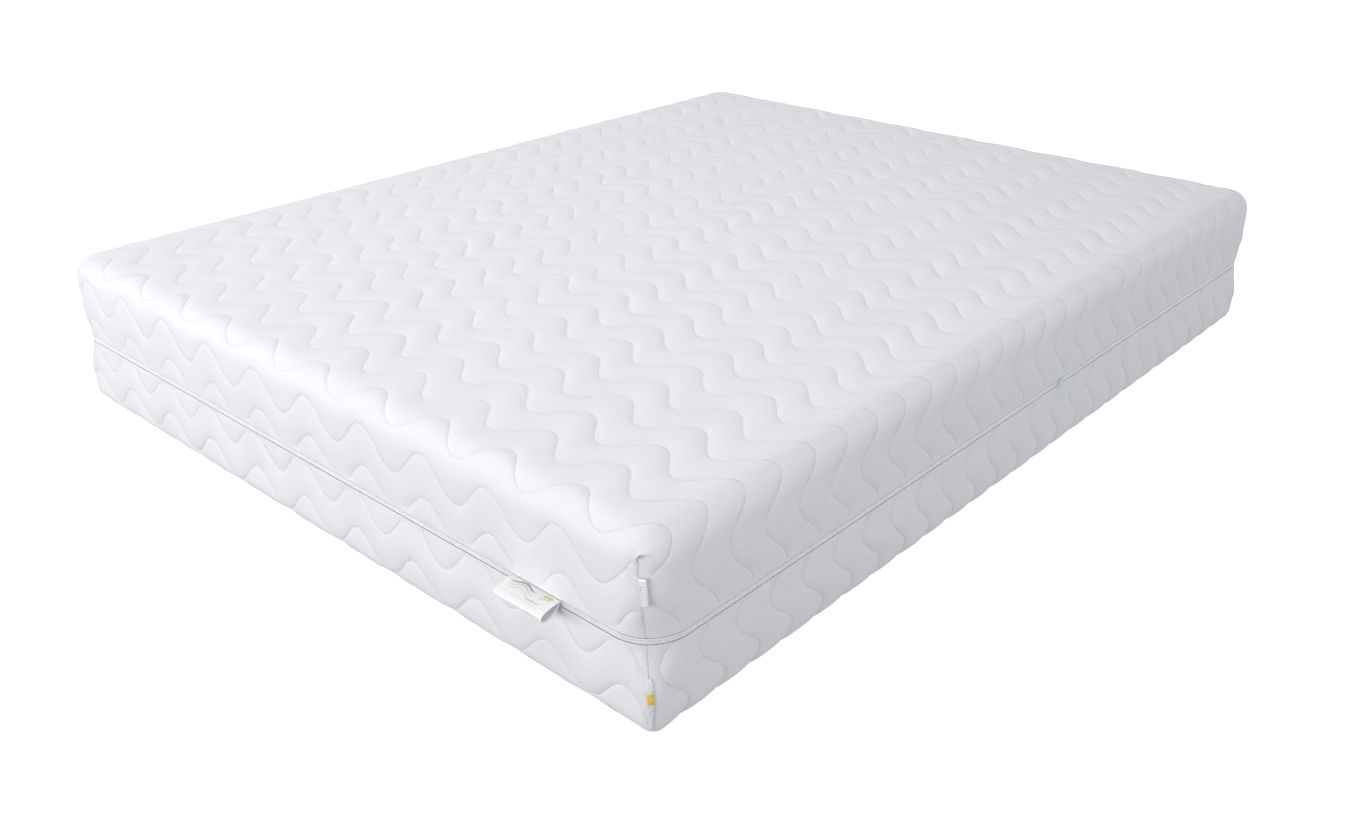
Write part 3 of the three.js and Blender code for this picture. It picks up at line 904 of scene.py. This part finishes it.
class Finish(Nodes):
    """A procedural material: a Principled shader and the nodes that feed it."""

    def __init__(self, name, roughness, **sockets):
        self.material = bpy.data.materials.new(name)
        self.material.use_nodes = True
        super().__init__(self.material.node_tree)
        self.put(Roughness=roughness, **sockets)

    def put(self, **sockets):
        """Sets or links the shader's sockets, with _ for a space, and returns the material."""
        shader = self.tree.nodes["Principled BSDF"]
        for key, value in sockets.items():
            self.join(shader.inputs[key.replace("_", " ")], value)
        return self.material

    def cloth(self):
        """The place on the flat cloth, and its two coordinates, in metres."""
        flat = self.node("UVMap", {}, uv_map="cloth").outputs[0]
        return flat, *self.axes(flat)[:2]

    def solid(self):
        """The place in the object, in metres."""
        return self.node("TexCoord", {}).outputs["Object"]

    def axes(self, where):
        return self.node("SeparateXYZ", {0: where}).outputs[:]

    def noise(self, where, grain, detail=2.0):
        """Soft noise with grains of the given size."""
        inputs = {"Vector": where, "Scale": 1 / grain, "Detail": detail}
        return self.node("TexNoise", inputs).outputs["Fac"]

    def sine(self, along, pitch):
        return self.math("SINE", self.math("MULTIPLY", along, TURN / pitch))

    def bumps(self, u, pitch_u, v, pitch_v):
        """Rows of bumps and dips, from -1 to 1."""
        return self.math("MULTIPLY", self.sine(u, pitch_u), self.sine(v, pitch_v))

    def total(self, *parts):
        """The sum of values, each with its weight."""
        whole = 0.0
        for value, weight in parts:
            whole = self.math("MULTIPLY_ADD", value, weight, whole)
        return whole

    def ease(self, value, low, high, to_low=0.0, to_high=1.0):
        inputs = dict(enumerate((value, low, high, to_low, to_high)))
        return self.node("MapRange", inputs, interpolation_type="SMOOTHSTEP").outputs[0]

    def band(self, value, low, high, soft=0.25 * MM):
        rise = self.ease(value, low - soft, low + soft)
        fall = self.ease(value, high - soft, high + soft, 1.0, 0.0)
        return self.math("MULTIPLY", rise, fall)

    def shade(self, factor, at_zero, at_one):
        """A colour that goes from one to the other as the factor goes from 0 to 1."""
        made = self.node("Mix", {0: factor}, data_type="RGBA")
        for index, color in ((6, at_zero), (7, at_one)):
            self.join(made.inputs[index], (*color, 1) if isinstance(color, tuple) else color)
        return made.outputs[2]

    def relief(self, height, depth):
        """A bump normal, depth metres high where the height goes from 0 to 1."""
        return self.node("Bump", {"Height": height, "Distance": depth, "Strength": 1.0}).outputs[0]


def quilt_knit():
    """White pique knit: small staggered bumps, finely hairy, with painted shade in its dips and along
    its creases.
    """
    f = Finish("quilt_knit", 0.92, Sheen_Weight=0.12, Sheen_Roughness=0.5)
    flat, u, v = f.cloth()
    hair = f.noise(flat, 0.7 * MM, 3)
    cloud = f.noise(flat, 160 * MM, 3)
    stitch = f.bumps(u, 3.0 * MM, v, 3.6 * MM)
    height = f.total((stitch, 0.35), (f.sine(v, 1.2 * MM), 0.12), (hair, 0.5))

    # the sewn line, where the fabric is pulled down; painted shade darkens the cloth along it
    bend = f.math("COSINE", f.math("MULTIPLY", u, TURN / WAVE))
    away = f.math("PINGPONG", f.total((v, 1), (bend, -SWING)), ROW / 2)
    # painted shade: the knit's dips are coloured darker than its bumps
    color = f.shade(f.ease(height, -0.2, 0.7), (0.69, 0.70, 0.725), (0.765, 0.772, 0.79))
    color = f.shade(f.ease(cloud, 0.35, 0.65, 0.0, 0.5), color, (0.745, 0.75, 0.765))
    # painted shade along the wave lines, in the creases
    color = f.shade(f.ease(away, 0.0, 1.0 * MM), (0.67, 0.68, 0.705), color)
    return f.put(Base_Color=color, Normal=f.relief(height, 0.36 * MM))


def wadding():
    """Carded polyester: long soft fibres."""
    f = Finish("wadding", 1.0, Sheen_Weight=0.25)
    flat = f.cloth()[0]
    fibre = f.noise(f.vectors("MULTIPLY", flat, (0.25, 1.0, 1.0)), 1.2 * MM, 5)
    height = f.total((fibre, 1), (f.noise(flat, 14 * MM, 3), 0.8))
    color = f.shade(f.ease(height, 0.5, 1.3), (0.74, 0.74, 0.71), (0.88, 0.88, 0.85))
    return f.put(Base_Color=color, Normal=f.relief(height, 1.0 * MM))


def backing():
    """Spunbond backing: pale grey felt with a grid of welded dots."""
    f = Finish("backing", 0.95)
    flat, u, v = f.cloth()
    weld = f.ease(f.bumps(u, 3.4 * MM, v, 3.4 * MM), 0.55, 0.8)
    fibre = f.noise(flat, 0.8 * MM, 5)
    color = f.shade(fibre, (0.64, 0.65, 0.65), (0.76, 0.765, 0.76))
    color = f.shade(weld, color, (0.58, 0.59, 0.60))
    return f.put(Base_Color=color, Normal=f.relief(f.total((fibre, 0.4), (weld, -1)), 0.2 * MM))


def sleeve_knit():
    """Fine white jersey: small loops the same way up on every face."""
    f = Finish("sleeve_knit", 0.9, Sheen_Weight=0.15)
    where = f.solid()
    x, y, z = f.axes(where)
    loop = 2.2 * MM
    pairs = [(f.bumps(a, loop, b, loop), 0.3) for a, b in ((x, y), (y, z), (z, x))]
    height = f.total(*pairs, (f.noise(where, 0.8 * MM, 3), 0.5))
    cloud = f.noise(where, 120 * MM, 3)
    # painted shade: the dips between the loops are coloured darker than the loops
    color = f.shade(f.ease(height, -0.2, 0.7), (0.70, 0.69, 0.66), (0.80, 0.79, 0.765))
    color = f.shade(f.ease(cloud, 0.4, 0.7, 0.0, 0.5), color, (0.76, 0.75, 0.73))
    return f.put(Base_Color=color, Normal=f.relief(height, 0.22 * MM))


def foam(name, dark, light, pore):
    """Cut foam: open pores of one size with painted shade in them, and a soft mottle."""
    f = Finish(name, 1.0)
    where = f.solid()
    pores = f.node("TexVoronoi", {"Vector": where, "Scale": 1 / pore}).outputs["Distance"]
    mottle = f.noise(where, 30 * MM, 4)
    hole = f.ease(pores, 0.15, 0.6)
    # painted shade in the pores, times a soft random mottle
    pore_shade_and_mottle = f.math("MULTIPLY", hole, f.ease(mottle, 0.3, 0.7, 0.75, 1.0))
    normal = f.relief(f.total((hole, 1), (mottle, 0.3)), 0.4 * MM)
    return f.put(Base_Color=f.shade(pore_shade_and_mottle, dark, light), Normal=normal)


def seam_thread():
    """White spun thread with a fine twist."""
    f = Finish("seam_thread", 0.6, Sheen_Weight=0.2)
    where = f.solid()
    twist = f.sine(f.total(*((axis, 1) for axis in f.axes(where))), 0.5 * MM)
    fluff = f.noise(where, 0.4 * MM, 2)
    color = f.shade(fluff, (0.72, 0.725, 0.75), (0.86, 0.865, 0.88))
    return f.put(Base_Color=color, Normal=f.relief(f.math("ADD", twist, fluff), 0.05 * MM))


def zip_tape():
    """Herringbone woven polyester tape."""
    f = Finish("zip_tape", 0.75, Sheen_Weight=0.15)
    flat, u, v = f.cloth()
    ridge = f.sine(f.math("ADD", u, f.math("PINGPONG", v, 1.6 * MM)), 0.8 * MM)
    height = f.total((ridge, 0.5), (f.sine(v, 0.5 * MM), 0.3))
    cloud = f.noise(flat, 20 * MM, 2)
    # painted shade: the valleys of the weave are coloured darker than its ridges
    color = f.shade(f.ease(height, -0.6, 0.6), (0.84, 0.85, 0.88), (0.93, 0.94, 0.96))
    color = f.shade(f.ease(cloud, 0.4, 0.7, 0.0, 0.4), color, (0.89, 0.90, 0.92))
    return f.put(Base_Color=color, Normal=f.relief(height, 0.12 * MM))


def zip_coil():
    """Moulded nylon, slightly milky, with faint drawing marks."""
    f = Finish("zip_coil", 0.4, Specular_IOR_Level=0.4)
    where = f.solid()
    marks = f.noise(where, 0.35 * MM, 2)
    color = f.shade(f.noise(where, 9 * MM, 3), (0.84, 0.85, 0.88), (0.90, 0.905, 0.925))
    shine = f.ease(marks, 0.3, 0.7, 0.32, 0.5)
    return f.put(Base_Color=color, Roughness=shine, Normal=f.relief(marks, 0.02 * MM))


def slider_enamel():
    """Bluish-white enamel on cast zinc, a little cloudy, with faint scuffs in its shine."""
    f = Finish("slider_enamel", 0.3, Coat_Weight=0.3, Coat_Roughness=0.2)
    where = f.solid()
    color = f.shade(f.noise(where, 6 * MM, 2), (0.76, 0.785, 0.84), (0.84, 0.86, 0.90))
    shine = f.ease(f.noise(where, 2.5 * MM, 4), 0.35, 0.7, 0.26, 0.42)
    peel = f.relief(f.noise(where, 1.6 * MM, 1), 0.01 * MM)
    return f.put(Base_Color=color, Roughness=shine, Normal=peel)


def satin(name):
    """White woven satin, the base of every label: returns the finish and its cloth colour."""
    f = Finish(name, 0.42, Sheen_Weight=0.1, Subsurface_Weight=0.6, Subsurface_Scale=1.5 * MM,
               Subsurface_Radius=(1.0, 1.0, 1.0))
    flat, u, v = f.cloth()
    cloud = f.noise(flat, 9 * MM, 2)
    height = f.math("ADD", f.bumps(u, 0.5 * MM, v, 1.1 * MM), cloud)
    f.put(Normal=f.relief(height, 0.03 * MM))
    return f, u, v, f.shade(cloud, (0.93, 0.935, 0.95), (0.98, 0.98, 0.985))


def patch(f, place, u_range, v_range, color, ink):
    """The colour with an inked rectangle on it; its ranges on the cloth are in mm."""
    bands = [f.band(axis, low * MM, high * MM) for axis, (low, high) in zip(place, (u_range, v_range))]
    return f.shade(f.math("MULTIPLY", *bands), color, ink)


def loop_label_print():
    """Satin with a plain printed motif: three soft waves, a fine line, a gold patch, grey bars."""
    f, u, v, color = satin("loop_label_satin")
    waves = [(9.0, 3.5, 2.2, (0.16, 0.15, 0.17)), (15.0, 4.5, 3.0, (0.82, 0.60, 0.56)),
             (21.0, 4.0, 1.6, (0.80, 0.68, 0.66))]
    for middle, swing, half, ink in waves:
        line = f.math("ADD", f.math("MULTIPLY", f.sine(u, 46 * MM), swing * MM), middle * MM)
        gap = f.math("ABSOLUTE", f.math("SUBTRACT", v, line))
        mask = f.ease(gap, half * 0.5 * MM, half * MM, 0.8, 0.0)
        mask = f.math("MULTIPLY", mask, f.band(u, 12 * MM, 56 * MM, 8 * MM))
        color = f.shade(mask, color, ink)
    inks = [((1, 99), (31.2, 32.2), (0.86, 0.83, 0.42)), ((74, 90), (6.5, 11.5), (0.86, 0.58, 0.20)),
            ((77, 88), (13.2, 14.2), (0.22, 0.22, 0.24)), ((70, 79), (16.0, 16.8), (0.40, 0.40, 0.42)),
            ((52, 80), (27.0, 28.2), (0.42, 0.43, 0.46)), ((44, 84), (47.0, 48.0), (0.35, 0.35, 0.38))]
    for u_range, v_range, ink in inks:
        color = patch(f, (u, v), u_range, v_range, color, ink)
    return f.put(Base_Color=color)


def upper_label_print():
    """Satin with three short grey bars near the seam."""
    f, u, v, color = satin("upper_corner_label_satin")
    for low in (20, 24.5, 29):
        color = patch(f, (u, v), (low, low + 2.2), (19.5, 21.2), color, (0.25, 0.25, 0.28))
    return f.put(Base_Color=color)


def lower_label_print():
    """Satin with a gold band across it and a few tiny bars at one edge."""
    f, u, v, color = satin("lower_corner_label_satin")
    color = f.shade(f.band(u, 45.0 * MM, 62.0 * MM, 0.3 * MM), color, (1.0, 0.62, 0.09))
    for low in (34, 47, 59, 63):
        color = patch(f, (u, v), (low, low + 2.5), (9.2, 10.4), color, (0.20, 0.20, 0.22))
    return f.put(Base_Color=color)


# ---------- studio
def softbox(name, location, aim, size, power):
    lamp = bpy.data.lights.new(name, "AREA")
    lamp.shape = "RECTANGLE"
    lamp.size, lamp.size_y = size
    lamp.energy = power
    lamp.color = (0.985, 0.99, 1.0)
    box = add_object(name, lamp)
    box.location = location
    box.rotation_mode = "QUATERNION"
    box.rotation_quaternion = (Vector(aim) - Vector(location)).to_track_quat("-Z", "Y")


def surroundings(right_back_up, left_front_down):
    """Soft fill from all round; each vector gives the brightness towards three directions."""
    world = bpy.data.worlds.new("studio")
    world.use_nodes = True
    n = Nodes(world.node_tree)
    where = n.node("TexCoord", {}).outputs["Generated"]
    brightness = 0.0
    for way, levels in ((1, right_back_up), (-1, left_front_down)):
        facing = n.vectors("MAXIMUM", n.vectors("MULTIPLY", where, (way, way, way)), (0, 0, 0))
        brightness = n.math("ADD", brightness, n.vectors("DOT_PRODUCT", facing, levels, "Value"))
    background = n.tree.nodes["Background"]
    n.join(background.inputs[0], (0.975, 0.985, 1, 1))
    n.join(background.inputs[1], brightness)
    bpy.context.scene.world = world


def paper_sweep():
    """Round white sweep: flat under the mattress, curving up all round, clear from behind."""
    paper = Finish("paper_sweep", 0.9, Emission_Color=(1, 1, 1, 1), Emission_Strength=0.85)
    grain = paper.noise(paper.solid(), 0.2, 2)
    behind = paper.node("NewGeometry", {}).outputs["Backfacing"]
    paper.put(Base_Color=paper.shade(grain, (0.40, 0.40, 0.402), (0.42, 0.42, 0.422)),
              Alpha=paper.math("SUBTRACT", 1, behind))
    paper.material.cycles.emission_sampling = "NONE"
    outline = [(1, 0), (9, 0), (11, 0.4), (13, 1.7), (14.4, 3.7), (15, 6), (15, 12)]
    count = 96
    points = [(out * math.cos(TURN * k / count), out * math.sin(TURN * k / count), up - 0.3 * MM)
              for out, up in outline for k in range(count)]
    faces = [tuple(range(count))] + grid_faces(len(outline), count, round_columns=True)
    floor = mesh_piece("floor", points, faces, paper.material)
    floor.visible_diffuse = False
    floor.visible_glossy = False
    floor.visible_shadow = False


def studio():
    """A pale sweep lit by a window behind on the left, and softly from above and from the foot."""
    scene = bpy.context.scene
    surroundings((0.87, 0.50, 0.0), (0.10, 0.03, 0.10))
    scene.view_settings.view_transform = "Standard"
    paper_sweep()
    softbox("overhead", (0.2, -0.8, 3.5), (0.1, -0.4, 0), (3.4, 3.4), 74)
    softbox("foot", (0.2, -4.5, 1.2), (0, 0, 0.2), (3.0, 1.8), 86)
    softbox("foot_left", (-2.9, -4.5, 0.7), (0, 0, 0.2), (2.5, 1.3), 96)
    softbox("window", (-6.4, 3.6, 3.0), (0, 0, 0.2), (3.5, 3.0), 265)


def camera():
    """The camera stands off the near foot corner and looks down over the mattress."""
    data = bpy.data.cameras.new("camera")
    data.sensor_width = 36
    data.lens = 33.92
    data.clip_end = 50
    cam = add_object("camera", data)
    azimuth, tilt, roll = (math.radians(a) for a in (42.46, 90 - 26.84, -0.33))
    turn = Matrix.Rotation(azimuth, 4, "Z") @ Matrix.Rotation(tilt, 4, "X")
    cam.matrix_world = (Matrix.Translation((1.709, -1.948, 1.154)) @ turn
                        @ Matrix.Rotation(roll, 4, "Z"))
    bpy.context.scene.camera = cam


# ---------- the mattress
upper = Cover("upper", "upper_cover", crown=TOP, hem=UPPER_HEM, edge=TOP_EDGE,
              corner=UPPER_SEAM_CORNER, taut=0.2, up=1, first_peak=34.5 * MM, first_row=10 * MM,
              stray=0.38, seed=11)
lower = Cover("lower", "mattress_base", crown=0.0, hem=LOWER_HEM, edge=BOTTOM_EDGE,
              corner=LOWER_SEAM_CORNER, taut=-0.6, up=-1, first_peak=69 * MM, first_row=26 * MM,
              stray=0.14, seed=31)

camera()
studio()
knit, thread, fill, felt = quilt_knit(), seam_thread(), wadding(), backing()
for cover in (upper, lower):
    build_cover_face(cover, knit)
    build_quilt_thread(cover, thread)
    build_corner_seams(cover, thread)
    build_under_layer(cover, "wadding", WADDING, 0.6, fill)
    build_under_layer(cover, "backing", BACKING, 0.25, felt)

tape, coil = zip_tape(), zip_coil()
for cover, shift in ((upper, 0.0), (lower, 0.5)):
    build_zip_tape(cover, tape)
    build_zip_coil(cover, shift, coil)
finish_hardware(slider_enamel())

build_loop_label(upper, loop_label_print())
build_upper_corner_label(upper, upper_label_print())
build_lower_corner_label(lower, lower_label_print())

FOAM_TOP_EDGE = TOP_EDGE - (HALF_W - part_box("memory_foam_layer")[1].x)
FOAM_BOTTOM_EDGE = BOTTOM_EDGE - (HALF_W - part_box("support_foam_core")[1].x)
build_foam_layer("memory_foam_layer", FOAM_TOP_EDGE, CUT_EDGE,
                 foam("memory_foam", (0.60, 0.50, 0.30), (0.88, 0.80, 0.60), 0.8 * MM))
build_foam_layer("transition_foam_layer", CUT_EDGE, CUT_EDGE,
                 foam("transition_foam", (0.36, 0.47, 0.56), (0.58, 0.69, 0.78), 1.2 * MM))
build_foam_layer("support_foam_core", CUT_EDGE, FOAM_BOTTOM_EDGE,
                 foam("support_foam", (0.60, 0.58, 0.52), (0.84, 0.82, 0.76), 1.5 * MM))
build_sleeve(sleeve_knit())
